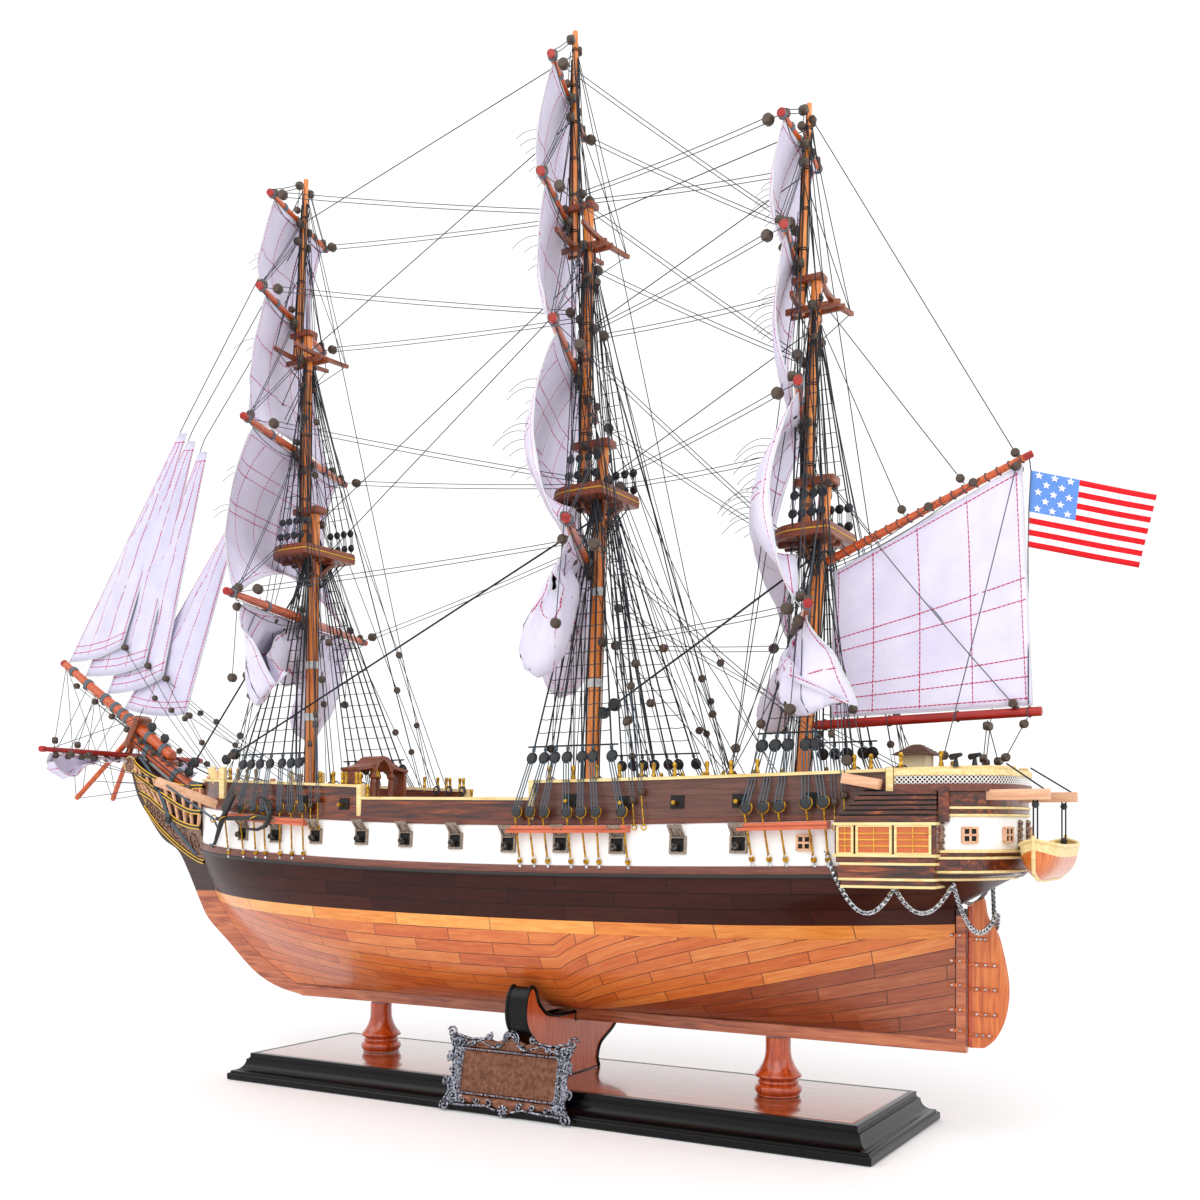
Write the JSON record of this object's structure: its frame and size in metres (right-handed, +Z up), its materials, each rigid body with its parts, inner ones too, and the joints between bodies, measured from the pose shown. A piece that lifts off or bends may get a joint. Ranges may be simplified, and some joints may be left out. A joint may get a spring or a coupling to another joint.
{
  "type": "sailing ship model",
  "caption": "Wooden display model of a three-masted sailing frigate with square sails, rigging, flag and nameplate, on a moulded wooden stand.",
  "frame": {"origin": "centre of the stand's underside", "axes": "+X points to the bow, +Y to port, +Z up"},
  "size_m": [0.7651, 0.2084, 0.6173],
  "materials": {
    "base_wood": "polished red-brown wood",
    "pedestal_wood": "turned wood, orange-red varnish",
    "cradle_wood": "stained wood with dark edges",
    "plate_metal": "antiqued cast metal",
    "bottom_planks": "varnished orange-tan planking",
    "keel_wood": "varnished wood",
    "dark_planks": "dark planks with white and red-brown bands",
    "deck_wood": "satin deck planks",
    "mahogany": "varnished dark red wood with cream caps",
    "head_wood": "black and yellow painted rails",
    "cream_paint": "cream paint",
    "rudder_wood": "varnished orange wood",
    "mast_wood": "orange varnish",
    "dark_red_wood": "dark red varnish",
    "stay_cord": "black cord",
    "sail_cloth": "thin white cloth",
    "flag_cloth": "striped cloth"
  },
  "bodies": {
    "ship": {"base": "base_wood", "belfry": "mahogany", "boat": "rudder_wood", "bowsprit": "mast_wood", "bulwark": "mahogany", "cabin": "cream_paint", "cradle": "cradle_wood", "crossjack_yard": "mast_wood", "flying_jib": "sail_cloth", "fore_course": "sail_cloth", "fore_course_yard": "mast_wood", "fore_lower_mast": "mast_wood", "fore_royal_yard": "mast_wood", "fore_stay": "stay_cord", "fore_topgallant_yard": "mast_wood", "fore_topmast": "mast_wood", "fore_topsail": "sail_cloth", "fore_topsail_yard": "mast_wood", "fore_upper_sails": "sail_cloth", "gun_band": "dark_planks", "head_rails_port": "head_wood", "head_rails_starboard": "head_wood", "hull_bottom": "bottom_planks", "inner_jib": "sail_cloth", "jib_boom": "mast_wood", "keel": "keel_wood", "main_course": "sail_cloth", "main_course_yard": "mast_wood", "main_lower_mast": "mast_wood", "main_royal_yard": "mast_wood", "main_stay": "stay_cord", "main_topgallant_yard": "mast_wood", "main_topmast": "mast_wood", "main_topsail": "sail_cloth", "main_topsail_yard": "mast_wood", "main_upper_sails": "sail_cloth", "mizzen_course": "sail_cloth", "mizzen_lower_mast": "mast_wood", "mizzen_royal_yard": "mast_wood", "mizzen_stay": "stay_cord", "mizzen_topgallant_yard": "mast_wood", "mizzen_topmast": "mast_wood", "mizzen_topsail": "sail_cloth", "mizzen_topsail_yard": "mast_wood", "mizzen_upper_sails": "sail_cloth", "nameplate": "plate_metal", "outer_jib": "sail_cloth", "pedestal_aft": "pedestal_wood", "pedestal_fore": "pedestal_wood", "quarter_gallery_port": "mahogany", "quarter_gallery_starboard": "mahogany", "spar_deck": "deck_wood", "spritsail": "sail_cloth", "spritsail_yard": "dark_red_wood", "staysail": "sail_cloth"},
    "rudder": {"rudder": "rudder_wood"},
    "spanker_gear": {"boom": "dark_red_wood", "gaff": "mast_wood", "spanker": "sail_cloth", "flag": "flag_cloth"}
  },
  "joints": [
    {"name": "rudder_turn", "type": "hinge", "parent": "ship", "child": "rudder", "pos_m": [-0.2394, 0, 0.085], "axis": [0, 0, 1], "range_deg": [-30, 30]},
    {"name": "spanker_swing", "type": "hinge", "parent": "ship", "child": "spanker_gear", "pos_m": [-0.1502, 0, 0.16294], "axis": [-0.0822, 0, 0.9966], "range_deg": [-14, 14]}
  ]
}
